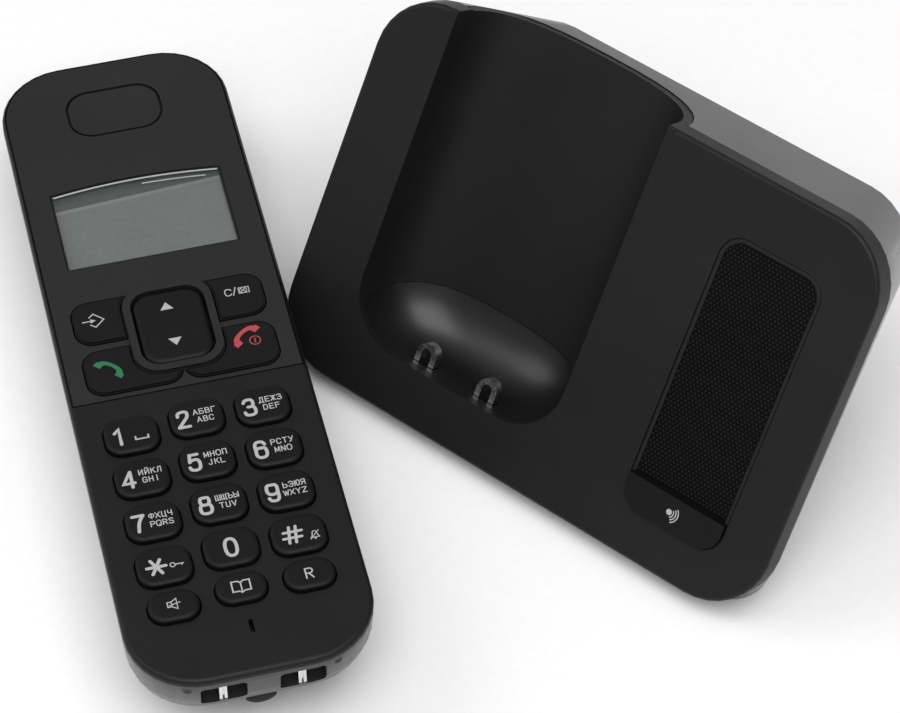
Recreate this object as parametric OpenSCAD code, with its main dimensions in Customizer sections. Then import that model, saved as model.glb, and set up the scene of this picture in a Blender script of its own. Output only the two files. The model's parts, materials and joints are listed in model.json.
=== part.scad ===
// Cordless phone handset and its sloping charging base, as separate pieces.
// Units are millimetres, +Z is up. The origin is the centre of the base's
// flat underside: X runs across the base, and +Y points to its back.

/* [Base] */
// Width of the base across its sloping face
base_w = 118; // [114:1:126]
// Height of the base measured up its sloping face
base_h = 83.4; // [82:0.1:88]
// Slope of the face above the table, in degrees
face_slope = 57.5; // [55:0.5:62]
// Corner radius of the face
base_corner_r = 14; // [13:0.5:18]
// Depth of the front shell's side band
band_depth = 5.5; // [5:0.5:7]
// Depth of the top of the base, square to the face
top_depth = 25.5; // [25:0.5:30]
// Depth of the underside from the face's lower edge to the back
foot_depth = 68; // [66:1:80]
// Wall thickness of the base shells
base_wall = 2; // [1.8:0.1:2.4]

/* [Cradle] */
// Sideways place of the cradle's centre line
cradle_x = -18.8; // [-22:0.1:-16]
// Width of the cradle where it meets the face
cradle_w = 50.4; // [50:0.1:52]
// Depth of the cradle behind the face
cradle_depth = 18.3; // [18:0.1:19]
// Height of the cradle's floor above the face's lower edge
cradle_floor = 12; // [11:0.5:13]
// Corner radius of the cradle's lower end
cradle_corner_r = 12; // [10:0.5:13]
// Height of a charging contact above the cradle's floor
contact_h = 4.6; // [4.2:0.1:5]
// Distance between the two charging contacts
contact_pitch = 15.2; // [14:0.1:17]

/* [Grille panel] */
// Sideways place of the grille panel's centre line
panel_x = 37; // [36:0.5:38]
// Width of the grille panel
panel_w = 23; // [20:0.5:24]
// Lower end of the panel above the face's lower edge
panel_low = 9.8; // [9:0.1:11]
// Upper end of the panel above the face's lower edge
panel_high = 70.8; // [66:0.1:72]
// Length of the page key at the panel's lower end
page_l = 7.4; // [7:0.1:9]

/* [Handset] */
// Length of the handset
handset_l = 162; // [160:0.5:166]
// Width of the handset
handset_w = 48; // [47.5:0.1:48.5]
// Thickness of the handset
handset_t = 24.5; // [24:0.1:25]
// Corner radius of the handset's outline
handset_corner_r = 14; // [12:0.5:15]
// Height of the seam between the front and rear housings
seam_z = 23; // [22.8:0.1:23.2]
// Wall thickness of the handset housings
handset_wall = 1.8; // [1.6:0.1:2]
// Where the handset is: lying beside the base, or standing in its cradle
handset_place = "beside"; // [beside, docked]
// Turn of the handset on the table, in degrees
handset_yaw = 51.35; // [45:0.05:60]

/* [Keypad] */
// Sideways distance between number keys
key_pitch_x = 13.2; // [13:0.05:13.6]
// Lengthways distance between rows of number keys
key_pitch_y = 10.85; // [10.6:0.05:11]
// Width of a number key
key_w = 10.7; // [10:0.1:11.4]
// Length of a number key
key_l = 8.8; // [8.4:0.1:9]
// Travel of every key
key_travel = 0.7; // [0.5:0.1:0.7]
// Height of the number keys above the face
key_rise = 1.2; // [0.8:0.1:1.4]

/* [Display] */
// Width of the display lens
lens_w = 35.6; // [34:0.1:36]
// Length of the display lens
lens_l = 21.4; // [20:0.1:22]
// Middle of the display lens, from the handset's lower end
lens_y = 116; // [115:0.5:117]

/* [Hidden] */

$fn = 48;
HULL_FN = 32;
eps = 0.02;
disc_t = 0.3;
fit_gap = 0.3;

// colours
c_front = [0.10, 0.10, 0.11];
c_plate = [0.14, 0.14, 0.15];
c_rear = [0.24, 0.24, 0.25];
c_key = [0.07, 0.07, 0.08];
c_metal = [0.80, 0.80, 0.82];
c_board = [0.10, 0.35, 0.18];
c_rubber = [0.06, 0.06, 0.06];

// base: the face plane, seen as its own x, y (up the slope) and z (outwards)
front_y = -foot_depth / 2;
face_z = 5;
band_edge_r = 0.9;
face_skin = 2.2;
rear_top_r = 13;
rear_top_left_x = -31;
rear_top_right_x = 40;
foot_half_w = 41;
foot_r = 8;

// cradle
cradle_power = 2.7;
cradle_depth_r = 9;
cradle_steps = 7;
cradle_points = 20;
liner = 1.8;
insert_seam_y = 24.7;
insert_seam_tilt = 20;
contact_z = -5.2;
contact_w = 4.7;
contact_strip = 1.2;
contact_band = 2.2;
contact_travel = 3.2;
contact_tail = 5;

// panel
panel_r = 5;
panel_sink = 1.1;
mesh_t = 0.7;
slot_l = 16;
mesh_low = panel_low + page_l + 0.3;
page_travel = 0.8;

// base electronics
board_t = 1.6;
board_z = -11;
board_x0 = 10;
board_x1 = 45;
board_y0 = 9;
board_y1 = 66;
board_posts_at = [[14, 62], [43, 62], [14, 14], [43, 21]];
line_socket_x = 26;
power_socket_x = 6;
socket_z = 12;
socket_w = 13;
socket_h = 11.5;
socket_d = 14;

// handset
edge_r = 1;
belly_z = seam_z - 1;
belly_in = 12;
chin_in = 28;
crown_in = 13;
belly_corner = 5;
hollow_levels = [10, 15, 19];
belly_steps = 8;
plate_t = 1;
plate_low = 70;
plate_gap = 0.35;
plate_side = 0.6;
ledge_z = handset_t - plate_t;
under_z = ledge_z - 1.2;
rim_in = handset_wall + 0.2;
cover_half_w = 19.5;
cover_high = 84;
cover_z = 5.2;
cover_inner_low = 19;
cover_inner_w = 29.6;
cover_inner_r = 8;
cover_gap = 0.2;
hboard_z = 16;
mat_z = hboard_z + board_t;
boss_t = 0.9;
key_foot_z = mat_z + boss_t + key_travel + 0.1;
mat_y = 53;
mic_y = 10.5;
mic_r = 2;

// battery bay with two AAA cells
bay_low = 26;
bay_l = 52.4;
bay_w = 24.4;
cell_x = 5.7;
cell_z = 7.6;
cell_r = 5.2;
cell_l = 43.7;
cell_low = 30.2;

// keypad rows, from the lower end
row_low = 18.9;
row_star = 28.5;
column_dy = [-1, 0.2, 0.1];
key_r = 3.2;
key_dome_e = 1;
key_dome_f = 0.6;
small_key_w = 9.9;
small_key_l = 6.9;
keypad_x = -0.15;

// navigation group
nav_x = 0;
nav_y = 85.75;
nav_w = 14.3;
nav_l = 18.4;
nav_r = 3.6;
ring_bar = 1.5;
ring_gap = 0.45;
ring_rise = 0.8;
nav_rise = 0.7;
fn_out_x = 19.4;
fn_top = 95.8;
fn_mid_high = 84.9;
fn_mid_low = 82.9;
fn_low = 71.6;
fn_r = 3.5;
fn_rise = 0.45;
fn_soft = 0.35;
fn_foot_x = 14.6;
fn_low_foot_y = 77.2;
fn_top_foot_y = 90.3;

// earpiece
ear_y = 147.2;
ear_x = -0.4;
ear_w = 19;
ear_l = 12;
ear_r = 4.6;
ear_gap = 0.55;
ear_dish = 0.35;

// charging windows in the handset's lower end
win_w = 8.9;
win_h = 6.6;
win_z = 18.5;
win_r = 1;
win_depth = 4.2;
strip_w = 1.5;
strip_y = 1.7;
dimple_x = 14.6;
dimple_z = 21.5;

handset_x = 0.6;
handset_y = front_y - 73.7;
dock_lift = 0.5;
dock_out = 2.8;
dock_tilt = 7.5;

// screws
hscrew_x = 12.5;
hscrew_low_y = 11;
hscrew_high_y = 139;
hscrew_z = 8.4;
hscrew_head = 1.9;
hscrew_boss_z = 14;
hboss_r = 2.4;
hbore_h = 9.5;
base_screws_at = [[-50, 12], [50, 12], [50, 68], [-49, 66]];

// ---------- frames ----------

module on_face()
    translate([0, front_y, face_z]) rotate([face_slope, 0, 0]) children();

module in_handset() {
    if (handset_place == "docked")
        on_face() translate([cradle_x, cradle_floor + dock_lift, dock_out]) rotate([dock_tilt, 0, 0])
            translate([0, 0, -handset_t]) children();
    else
        translate([handset_x, handset_y, 0]) rotate([0, 0, handset_yaw]) children();
}

// ---------- shared shapes ----------

// rounded rectangle with its middle at the origin
module round_rect(w, l, r) {
    square([w - 2 * r, l], center = true);
    square([w, l - 2 * r], center = true);
    for (x = [-1, 1])
        for (y = [-1, 1])
            translate([x * (w / 2 - r), y * (l / 2 - r)]) circle(r);
}

module round_plate(w, l, r, h)
    linear_extrude(h) round_rect(w, l, r);

// half section of a round button whose upper edge is rounded by e across and f down
function button_profile(r, e, f, z0, z1, steps) = concat([[0, z0], [r, z0]],
    [for (k = [0 : steps])
        let (a = 90 * k / steps)
        [r - e * (1 - cos(a)), z1 - f * (1 - sin(a))]],
    [[0, z1]]);

// four such buttons at the corners of a rounded rectangle, for use inside a hull
module corner_buttons(x0, x1, y0, y1, r, profile)
    for (x = [x0 + r, x1 - r])
        for (y = [y0 + r, y1 - r])
            translate([x, y, 0]) rotate_extrude($fn = HULL_FN) polygon(profile);

// four flat discs at the corners of a rounded rectangle, for use inside a hull
module corner_discs(x0, x1, y0, y1, r, z)
    for (x = [x0 + r, x1 - r])
        for (y = [y0 + r, y1 - r])
            translate([x, y, z]) cylinder(r = r, h = disc_t, $fn = HULL_FN);

// ---------- base: outer bodies ----------

// front shell's outer body, with a rounded edge round its face
module front_block(s, skin, low)
    hull()
        corner_buttons(-base_w / 2 + s, base_w / 2 - s, s, base_h - s, base_corner_r - s,
            button_profile(base_corner_r - s, band_edge_r, band_edge_r, low, -skin, 5));

// rear shell's outer body: from the seam back to the upright rear wall
module rear_block(s)
    hull() {
        on_face() {
            corner_discs(-base_w / 2 + s, base_w / 2 - s, s, base_h - s,
                base_corner_r - s, -band_depth - disc_t + (s > 0 ? 1 : 0));
            for (x = [rear_top_left_x, rear_top_right_x])
                translate([x, base_h - rear_top_r, -top_depth + s])
                    cylinder(r = rear_top_r - s, h = 1, $fn = HULL_FN);
        }
        for (x = [-1, 1]) {
            translate([x * (foot_half_w - foot_r), front_y + foot_depth - foot_r, s])
                cylinder(r = foot_r - s, h = 1, $fn = HULL_FN);
            translate([x * (base_w / 2 - 12), front_y + 14, s])
                cylinder(r = foot_r - s, h = 1, $fn = HULL_FN);
        }
    }

// ---------- cradle ----------

// half of a superellipse, open towards the face
function cradle_outline(half_w, depth, rise) = concat(
    [for (k = [0 : cradle_points])
        let (a = 180 * k / cradle_points,
             c = cos(a), s = sin(a))
        [half_w * sign(c) * pow(abs(c), 2 / cradle_power), -depth * pow(abs(s), 2 / cradle_power)]],
    [[-half_w, rise], [half_w, rise]]);

module cradle_slice(y, half_w, depth, rise)
    translate([0, y, 0]) rotate([90, 0, 0]) linear_extrude(eps)
        polygon(cradle_outline(half_w, depth, rise));

// the space of the cradle, grown by g on every side
module cradle_space(g, top, rise)
    translate([cradle_x, 0, 0])
        hull() {
            for (k = [0 : cradle_steps]) {
                a = 90 * k / cradle_steps;
                cradle_slice(cradle_floor - g + cradle_corner_r * (1 - cos(a)) + eps,
                    cradle_w / 2 + g - cradle_corner_r * (1 - sin(a)),
                    cradle_depth + g - cradle_depth_r * (1 - sin(a)), rise);
            }
            cradle_slice(top, cradle_w / 2 + g, cradle_depth + g, rise);
        }

// everything below the seam between the cradle's wall and its insert
module below_insert_seam(shift)
    translate([-base_w, 0, 0]) translate([0, insert_seam_y + shift, -cradle_depth])
        rotate([insert_seam_tilt, 0, 0]) translate([0, -60, -30]) cube([2 * base_w, 60, 60]);

module contact_slots(grow)
    for (side = [-1, 1])
        translate([cradle_x + side * contact_pitch / 2 - contact_w / 2 - grow, 0,
            contact_z - contact_band / 2 - grow])
            cube([contact_w + 2 * grow, cradle_floor + eps, contact_band + 2 * grow]);

// ---------- base: pieces ----------

module base_front_shell() color(c_front) on_face() difference() {
    union() {
        difference() {
            front_block(0, 0, -band_depth);
            front_block(base_wall, face_skin, -band_depth - 1);
        }
        // wall of the cradle, down to its insert
        difference() {
            intersection() {
                cradle_space(liner, base_h + 5, -0.6);
                translate([-base_w / 2, 1, -60]) cube([base_w, base_h - 1.2, 60]);
            }
            below_insert_seam(0);
        }
        // screw bosses, and posts that carry the board
        for (p = base_screws_at)
            translate([p[0], p[1], -8]) cylinder(r = 3, h = 7);
        for (p = board_posts_at)
            translate([p[0], p[1], board_z + board_t]) cylinder(r = 1.8, h = -board_z - board_t - 1.8);
    }
    cradle_space(0, base_h + 20, 12);
    for (p = base_screws_at)
        translate([p[0], p[1], -8.1]) cylinder(r = 1.1, h = 5.6);
    // sunk panel, its sound slots and the page key's opening
    translate([panel_x, (panel_low + panel_high) / 2, -panel_sink])
        round_plate(panel_w, panel_high - panel_low, panel_r, 5);
    for (k = [0 : 5])
        translate([panel_x - slot_l / 2, mesh_low + 8 * (k + 1), -5]) cube([slot_l, 2, 5]);
    translate([panel_x, panel_low + 4, -5])
        round_plate(panel_w - 5, 4.6, 1.5, 5);
}

module cradle_insert() color([0.05, 0.05, 0.055]) on_face() difference() {
    intersection() {
        cradle_space(liner, base_h, -0.6);
        below_insert_seam(-0.12);
        translate([-base_w / 2, 0, -60]) cube([base_w, base_h, 60 - face_skin - 0.15]);
    }
    cradle_space(0, base_h + 10, 12);
    contact_slots(fit_gap);
}

module base_rear_shell() color(c_rear) difference() {
    rear_block(0);
    difference() {
        rear_block(base_wall);
        // screw towers from the sloping rear wall to the seam
        on_face() for (p = base_screws_at)
            translate([p[0], p[1], -70]) cylinder(r = 4, h = 61.8);
        // frames that hold the two sockets
        for (x = [line_socket_x, power_socket_x])
            translate([x - socket_w / 2 - 1.5, -front_y - socket_d - 1.5, 1])
                cube([socket_w + 3, socket_d + 5, socket_h + 6.5]);
    }
    // the front shell's band, the board and the cradle's wall stay clear
    on_face() {
        cradle_space(liner + 0.15, base_h + 20, 12);
        translate([-base_w, -base_h, -band_depth]) cube([2 * base_w, 3 * base_h, 60]);
        for (p = base_screws_at) {
            translate([p[0], p[1], -41]) cylinder(r = 1.5, h = 40);
            translate([p[0], p[1], -62]) cylinder(r = 3.1, h = 51);
        }
    }
    for (x = [line_socket_x, power_socket_x])
        translate([x - socket_w / 2 - 0.1, -front_y - socket_d - 0.1, socket_z - socket_h / 2 - 0.1])
            cube([socket_w + 0.2, socket_d + 10, socket_h + 0.2]);
    foot_pads(0.1);
}

module foot_pads(grow)
    for (x = [-1, 1])
        for (p = [[30, front_y + 58], [44, front_y + 14]])
            translate([x * p[0], p[1], -grow]) cylinder(r = 4.5 + grow, h = 1 + 2 * grow);

module base_feet() color(c_rubber) foot_pads(0);

module base_screws() color(c_metal) on_face()
    for (p = base_screws_at)
        translate([p[0], p[1], 0]) {
            translate([0, 0, -12.6]) cylinder(r = 1.08, h = 9.6);
            translate([0, 0, -13]) difference() {
                cylinder(r = 2.6, h = 1.9);
                translate([-1.6, -0.3, -eps]) cube([3.2, 0.6, 0.7]);
                translate([-0.3, -1.6, -eps]) cube([0.6, 3.2, 0.7]);
            }
        }

module grille_mesh() color([0.05, 0.05, 0.06]) on_face() difference() {
    translate([panel_x, (panel_low + panel_high) / 2, -panel_sink])
        round_plate(panel_w - 0.3, panel_high - panel_low - 0.3, panel_r - 0.15, mesh_t);
    translate([panel_x - panel_w, 0, -5]) cube([2 * panel_w, mesh_low, 10]);
}

module page_key() color(c_key) on_face() {
    difference() {
        translate([panel_x, (panel_low + panel_high) / 2, -panel_sink + page_travel + 0.15])
            round_plate(panel_w - 0.6, panel_high - panel_low - 0.6, panel_r - 0.3, 0.9);
        translate([panel_x - panel_w, panel_low + page_l, -5]) cube([2 * panel_w, 90, 10]);
    }
    translate([panel_x, panel_low + 4, -3.4]) round_plate(panel_w - 5.8, 3.8, 1.2, 3.6);
    translate([panel_x, panel_low + 4, board_z + board_t + 2.2 + page_travel + 0.1])
        cylinder(r = 1.5, h = -board_z - board_t - 2.2 - page_travel - 3);
}

module page_switch() color([0.2, 0.2, 0.2]) on_face()
    translate([panel_x, panel_low + 4, board_z + board_t]) {
        translate([-3, -3, 0]) cube([6, 6, 1.6]);
        translate([0, 0, 1.6]) cylinder(r = 1.6, h = 0.6);
    }

module base_board() color(c_board) on_face() difference() {
    translate([board_x0, board_y0, board_z]) cube([board_x1 - board_x0, board_y1 - board_y0, board_t]);
    cradle_space(liner + 0.6, base_h, 1);
}

module radio_shield() color(c_metal) on_face() translate([23, 38, board_z + board_t]) difference() {
    cube([20, 18, 2.6]);
    translate([0.3, 0.3, -eps]) cube([19.4, 17.4, 2.3]);
}

module base_buzzer() color([0.12, 0.12, 0.12]) on_face()
    translate([panel_x - 10, 28, board_z + board_t]) difference() {
        cylinder(r = 6, h = 4.5);
        translate([0, 0, 3.5]) cylinder(r = 1, h = 2);
    }

module contact_holder() color([0.12, 0.12, 0.12]) on_face() difference() {
    translate([cradle_x - contact_pitch / 2 - 5, cradle_floor - liner - 7.4, contact_z - 3])
        cube([contact_pitch + 10, 7.2, 3 - contact_z - face_skin - 0.15]);
    contact_slots(0.25);
    for (side = [-1, 1])
        translate([cradle_x + side * contact_pitch / 2, cradle_floor - liner - 9, contact_z])
            rotate([-90, 0, 0]) cylinder(r = 0.6, h = 3);
}

// sprung arch of metal strip, standing on its two legs
module charge_arch(x) color(c_metal) on_face()
    translate([x, cradle_floor + contact_h - contact_w / 2, contact_z - contact_band / 2]) {
        linear_extrude(contact_band) {
            difference() {
                circle(contact_w / 2);
                circle(contact_w / 2 - contact_strip);
                translate([-contact_w, -contact_w]) square([2 * contact_w, contact_w]);
            }
            for (side = [-1, 1])
                translate([side * (contact_w / 2 - contact_strip / 2) - contact_strip / 2,
                    contact_w / 2 - contact_h - contact_tail + contact_travel])
                    square([contact_strip,
                        contact_h + contact_tail - contact_w / 2 - contact_travel + eps]);
        }
    }

module charge_contact_left() charge_arch(cradle_x - contact_pitch / 2);

module charge_contact_right() charge_arch(cradle_x + contact_pitch / 2);

// modular socket with its opening in the rear wall
module modular_socket(x, pins)
    translate([x, -front_y, socket_z]) {
        difference() {
            translate([-socket_w / 2, -socket_d, -socket_h / 2]) cube([socket_w, socket_d - 0.3, socket_h]);
            translate([-4.9, -socket_d + 1.5, -3.6]) cube([9.8, socket_d, 6.8]);
            translate([-3.1, -socket_d + 1.5, -4.8]) cube([6.2, socket_d, 2]);
        }
        for (k = [0 : pins - 1])
            translate([(k - (pins - 1) / 2) * 1.27 - 0.2, -socket_d + 1.4, 2.2]) cube([0.4, 8, 1.05]);
    }

module line_socket() color([0.13, 0.13, 0.14]) modular_socket(line_socket_x, 4);

module power_socket() color([0.13, 0.13, 0.14]) modular_socket(power_socket_x, 2);

// ---------- handset: outer bodies ----------

// front housing's outer body, with a rounded edge round the face
module front_body()
    hull()
        corner_buttons(-handset_w / 2, handset_w / 2, 0, handset_l, handset_corner_r,
            button_profile(handset_corner_r, edge_r, edge_r, seam_z, handset_t, 4));

// rear housing's outer body: upright at the seam, rounding inwards below it
module rear_body()
    hull() {
        corner_discs(-handset_w / 2, handset_w / 2, 0, handset_l, handset_corner_r, seam_z - disc_t);
        for (k = [0 : belly_steps]) {
            curve = 1 - cos(90 * k / belly_steps);
            side = belly_in * curve;
            corner_discs(-handset_w / 2 + side, handset_w / 2 - side,
                chin_in * curve, handset_l - crown_in * curve,
                handset_corner_r - belly_corner * curve, belly_z * (1 - sin(90 * k / belly_steps)));
        }
    }

// ---------- handset: keypad layout ----------

function key_y(row) = row == 4 ? row_low : row_star + (3 - row) * key_pitch_y;
function key_len(row) = row == 4 ? small_key_l : key_l;
function key_wide(row) = row == 4 ? small_key_w : key_w;
function key_x(col) = keypad_x + (col - 1) * key_pitch_x;

module key_holes(grow)
    for (row = [0 : 4])
        for (col = [0 : 2])
            translate([key_x(col), key_y(row) + column_dy[col], key_foot_z - 2])
                round_plate(key_wide(row) + 2 * grow, key_len(row) + 2 * grow, key_r + grow, 12);

module ring_2d(grow)
    translate([nav_x, nav_y])
        round_rect(nav_w + 2 * (ring_bar + ring_gap + grow), nav_l + 2 * (ring_bar + ring_gap + grow),
            nav_r + ring_bar + grow);

// outlines of the four function keys, mirrored for the right side
module upper_key_2d(grow)
    difference() {
        translate([-fn_out_x / 2 - 1, (fn_top + fn_mid_high) / 2])
            round_rect(fn_out_x - 2 + 2 * grow, fn_top - fn_mid_high + 2 * grow, fn_r + grow);
        ring_2d(ring_gap - grow);
    }

module lower_key_2d(grow)
    difference() {
        translate([-fn_out_x / 2 - 0.15, (fn_mid_low + fn_low) / 2])
            round_rect(fn_out_x - 0.3 + 2 * grow, fn_mid_low - fn_low + 2 * grow, fn_r + grow);
        translate([-0.15 + grow, fn_low - 5]) square([10, 20]);
        ring_2d(ring_gap - grow);
    }

module both_sides() {
    children();
    mirror([1, 0, 0]) children();
}

// every opening of the function group, cut through plate and housing
module function_holes(grow)
    translate([0, 0, key_foot_z - 2]) {
        linear_extrude(12) both_sides() {
            upper_key_2d(grow);
            lower_key_2d(grow);
        }
        translate([nav_x, nav_y, 0])
            round_plate(nav_w + 2 * ring_gap, nav_l + 2 * ring_gap, nav_r + ring_gap, 12);
    }

// ---------- handset: pieces ----------

module plate_prism(grow, z0, h) {
    side = handset_w / 2 - plate_side + grow;
    top = handset_l - plate_side + grow;
    r = handset_corner_r - plate_side + grow;
    translate([0, 0, z0]) linear_extrude(h) {
        translate([-side, plate_low - grow]) square([2 * side, top - r - plate_low + grow]);
        translate([-side + r, plate_low - grow]) square([2 * (side - r), top - plate_low + grow]);
        for (x = [-1, 1])
            translate([x * (side - r), top - r]) circle(r);
    }
}

// lens outline: its upper edge is gently bowed
module lens_2d(grow) {
    bow_r = 120;
    half = lens_w / 2 + grow;
    intersection() {
        translate([-half, lens_y - lens_l / 2 - grow]) square([2 * half, lens_l + 2 + 2 * grow]);
        translate([0, lens_y + lens_l / 2 + grow - bow_r + 0.8]) circle(bow_r, $fn = 180);
    }
}

module handset_front_housing() color(c_front) in_handset() difference() {
    union() {
        difference() {
            front_body();
            plate_prism(0, ledge_z, 5);
        }
        // panel that fits inside the rear housing's rim
        translate([0, handset_l / 2, under_z])
            round_plate(handset_w - 2 * rim_in, handset_l - 2 * rim_in, handset_corner_r - rim_in,
                seam_z - under_z + eps);
        for (x = [-1, 1])
            for (y = [hscrew_low_y, hscrew_high_y])
                translate([x * hscrew_x, y, hscrew_boss_z])
                    cylinder(r = hboss_r, h = under_z - hscrew_boss_z + eps);
    }
    key_holes(fit_gap);
    function_holes(fit_gap);
    translate([0, 0, 10]) linear_extrude(20) lens_2d(-1.2);
    translate([0, 0, ledge_z - 0.5]) linear_extrude(5) lens_2d(0.15);
    // sound openings of the earpiece
    for (x = [-6 : 3 : 6])
        translate([ear_x + x, ear_y + ear_l / 2 - 1.4, 10]) cylinder(r = 0.7, h = 20);
    for (x = [-1, 1])
        for (y = [hscrew_low_y, hscrew_high_y])
            translate([x * hscrew_x, y, hscrew_boss_z - 3]) cylinder(r = 0.9, h = hbore_h);
    // microphone slot
    translate([-0.45, mic_y - 1.5, 15]) cube([0.9, 3, 20]);
}

module handset_faceplate() color(c_plate) in_handset() difference() {
    union() {
        intersection() {
            front_body();
            plate_prism(-plate_gap, ledge_z + eps, 5);
        }
        // raised frame round the navigation key
        translate([0, 0, ledge_z + eps]) linear_extrude(plate_t + ring_rise) ring_2d(0);
    }
    function_holes(fit_gap);
    translate([0, 0, 10]) linear_extrude(20) lens_2d(0.15);
    translate([ear_x, ear_y, 10])
        round_plate(ear_w + 2 * ear_gap, ear_l + 2 * ear_gap, ear_r + ear_gap, 20);
}

// cap with a shallow dish; sound leaves by the gap round its edge
module earpiece_cap() color(c_plate) in_handset()
    translate([ear_x, ear_y, ledge_z + eps]) difference() {
        round_plate(ear_w, ear_l, ear_r, plate_t - 0.1);
        translate([0, 0, plate_t - ear_dish]) hull() {
            round_plate(ear_w - 9, ear_l - 7, 1.5, 0.1);
            translate([0, 0, ear_dish]) round_plate(ear_w - 2, ear_l - 2, ear_r - 1, 0.1);
        }
    }

module earpiece_speaker() color([0.3, 0.3, 0.32]) in_handset()
    translate([0, ear_y, under_z - 4.1]) {
        cylinder(r = 8.6, h = 3.2);
        difference() {
            cylinder(r = 7.4, h = 4);
            translate([0, 0, 3.4]) cylinder(r = 5.6, h = 1);
        }
    }

module microphone() color(c_metal) in_handset()
    translate([0, mic_y, mat_z + 0.9]) cylinder(r = mic_r, h = 1.5);

module display_lens() color([0.55, 0.6, 0.58, 0.4]) in_handset()
    translate([0, 0, ledge_z - 0.5 + eps]) linear_extrude(0.5 + plate_t - 0.25) lens_2d(0);

module display_glass() color([0.45, 0.48, 0.46]) in_handset()
    translate([-lens_w / 2 + 0.2, lens_y - lens_l / 2, under_z - 1.9]) cube([lens_w - 0.4, lens_l, 1.8]);

module display_holder() color([0.8, 0.8, 0.78]) in_handset()
    translate([-lens_w / 2 - 1, lens_y - lens_l / 2 - 1.2, mat_z + eps]) difference() {
        cube([lens_w + 2, lens_l + 2.4, under_z - 1.9 - mat_z + 1]);
        translate([1.1, 1.1, under_z - 1.9 - mat_z - eps]) cube([lens_w - 0.2, lens_l + 0.2, 3]);
    }

module keypad_mat() color([0.35, 0.35, 0.36]) in_handset() {
    translate([0, mat_y, mat_z + eps]) difference() {
        round_plate(41, 92, 4, 0.6);
        translate([0, mic_y - mat_y, -1]) cylinder(r = mic_r + 0.3, h = 4);
        for (x = [-1, 1])
            translate([x * hscrew_x, hscrew_low_y - mat_y, -1]) cylinder(r = hboss_r + 0.5, h = 4);
    }
    for (row = [0 : 4])
        for (col = [0 : 2])
            translate([key_x(col), key_y(row) + column_dy[col], mat_z + eps]) cylinder(r = 2.4, h = boss_t);
    for (x = [-1, 1])
        for (y = [fn_low_foot_y, fn_top_foot_y])
            translate([x * fn_foot_x, y, mat_z + eps]) cylinder(r = 2.4, h = boss_t);
    // ridge that the navigation key rocks on
    translate([-4, nav_y - 0.5, mat_z + eps]) cube([8, 1, 1.9]);
}

module handset_board() color(c_board) in_handset() difference() {
    translate([0, handset_l / 2, hboard_z]) round_plate(42, handset_l - 12, 6, board_t);
    for (x = [-1, 1])
        for (y = [hscrew_low_y, hscrew_high_y])
            translate([x * hscrew_x, y, 0]) cylinder(r = 3, h = 30);
}

module bay_box(grow, z0, z1)
    translate([-bay_w / 2 - grow, bay_low - grow, z0])
        cube([bay_w + 2 * grow, bay_l + 2 * grow, z1 - z0]);

// one step of the rear housing's hollow, following the curve of the back at height z0
module hollow_step(z0, z1, y0) {
    curve = 1 - sqrt(1 - pow(1 - min(z0, belly_z) / belly_z, 2));
    half_w = handset_w / 2 - belly_in * curve - handset_wall;
    low = max(y0, chin_in * curve + handset_wall);
    high = handset_l - crown_in * curve - handset_wall;
    translate([0, (low + high) / 2, z0])
        round_plate(2 * half_w, high - low,
            handset_corner_r - belly_corner * curve - handset_wall, z1 - z0 + eps);
}

module handset_rear_housing() color(c_rear) in_handset() difference() {
    rear_body();
    difference() {
        union() {
            hollow_step(hollow_levels[2], seam_z + 1, 0);
            hollow_step(hollow_levels[1], hollow_levels[2], 0);
            hollow_step(hollow_levels[0], hollow_levels[1], 0);
            hollow_step(cover_z + 1.5, hollow_levels[0], 0);
            hollow_step(handset_wall, cover_z + 1.5, cover_high + 1.6);
        }
        // walls and roof of the battery bay
        bay_box(1.2, cover_z, 14.6);
        // blocks behind the charging windows
        for (x = [-1, 1])
            translate([x * contact_pitch / 2 - win_w / 2 - 1, 0, win_z - win_h / 2 - 1])
                cube([win_w + 2, win_depth + 1.4, win_h + 1.3]);
        for (x = [-1, 1])
            for (y = [hscrew_low_y, hscrew_high_y])
                translate([x * hscrew_x, y, 1]) cylinder(r = 3.8, h = hscrew_boss_z - 1.2);
    }
    // opening of the battery cover, clear all the way to the lower end
    translate([-cover_half_w - cover_gap, -5, -5])
        cube([2 * (cover_half_w + cover_gap), cover_high + 5 + cover_gap, 5 + cover_z + cover_gap]);
    bay_box(0, -5, 13.4);
    for (x = [-1, 1]) {
        translate([x * contact_pitch / 2, win_depth, win_z]) rotate([90, 0, 0])
            round_plate(win_w, win_h, win_r, win_depth + 5);
        for (y = [hscrew_low_y, hscrew_high_y])
            translate([x * hscrew_x, y, -1]) {
                cylinder(r = 1.3, h = 30);
                cylinder(r = 2.8, h = hscrew_z + hscrew_head + 1);
            }
        // small round marks beside the windows
        translate([x * dimple_x, 0.2, dimple_z]) sphere(1.2, $fn = 24);
    }
    foot_bump(0.05);
    // sound holes of the ringer
    for (k = [-2 : 2])
        translate([k * 2.6 - 0.6, 116, -1]) cube([1.2, 8, 5]);
}

module battery_cover() color(c_rear) in_handset() difference() {
    intersection() {
        rear_body();
        translate([-cover_half_w, -5, -5]) cube([2 * cover_half_w, cover_high + 5, 5 + cover_z]);
    }
    // recess below the cells, open at the upper end so that the cover slides past them
    translate([0, (cover_inner_low + cover_high + cover_inner_r) / 2 + 1, handset_wall])
        round_plate(cover_inner_w, cover_high + cover_inner_r + 2 - cover_inner_low,
            cover_inner_r, cover_z);
    // finger grooves
    for (k = [0 : 4])
        translate([-6, 66 + 2.2 * k, -0.3]) cube([12, 1, 0.7]);
}

module battery_cells() color([0.25, 0.45, 0.3]) in_handset()
    for (side = [-1, 1])
        translate([side * cell_x, side > 0 ? cell_low : cell_low + cell_l, cell_z])
            rotate([side > 0 ? -90 : 90, 0, 0]) {
                cylinder(r = cell_r, h = cell_l - 0.7);
                cylinder(r = 1.9, h = cell_l);
            }

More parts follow.
